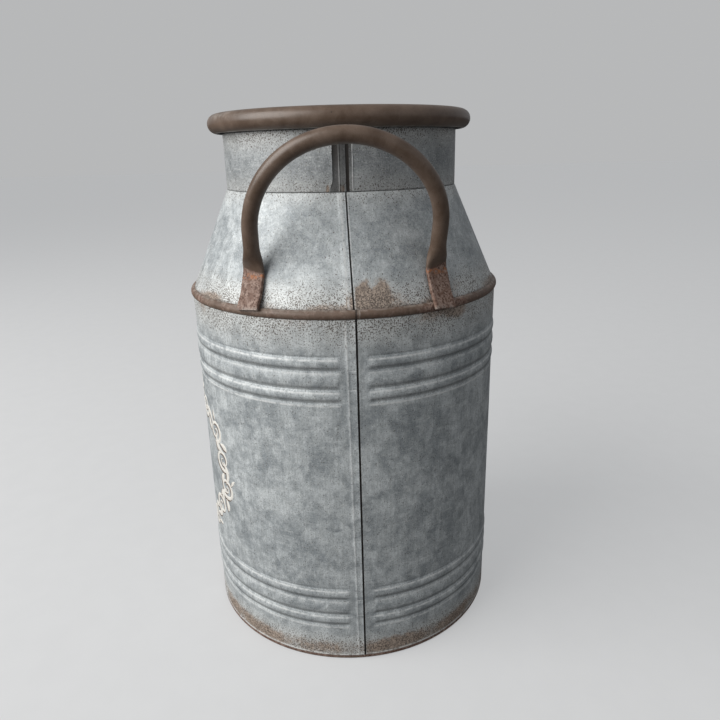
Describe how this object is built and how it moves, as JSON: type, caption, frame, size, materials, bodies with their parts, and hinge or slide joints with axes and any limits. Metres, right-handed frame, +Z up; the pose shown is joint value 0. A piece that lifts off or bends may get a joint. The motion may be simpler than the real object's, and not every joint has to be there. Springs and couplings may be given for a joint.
{
  "type": "milk can",
  "caption": "Open galvanised milk can: beaded sheet body, conical shoulder, straight neck with a rolled rim, and two fixed tube handles on the shoulder.",
  "frame": {"origin": "centre of the can on the floor, at the bottom of the folded foot", "axes": "+Z up along the can's axis; +X towards the lock seams and one handle, -X towards the other handle; -Y is the can's decorated face"},
  "size_m": [0.2642, 0.243, 0.4001],
  "materials": {
    "zinc": "weathered galvanised zinc, mottled grey with rust speckle at the joints",
    "zinc_dark": "darker weathered galvanised zinc",
    "brown_paint": "satin brown paint with a rubbed, rusty look"
  },
  "bodies": {
    "root": {"body_shell": "zinc", "shoulder_cone": "zinc", "neck_collar": "zinc_dark", "rim_ring": "brown_paint", "base_pan": "zinc_dark", "handle_right": "brown_paint", "handle_left": "brown_paint"}
  },
  "joints": []
}
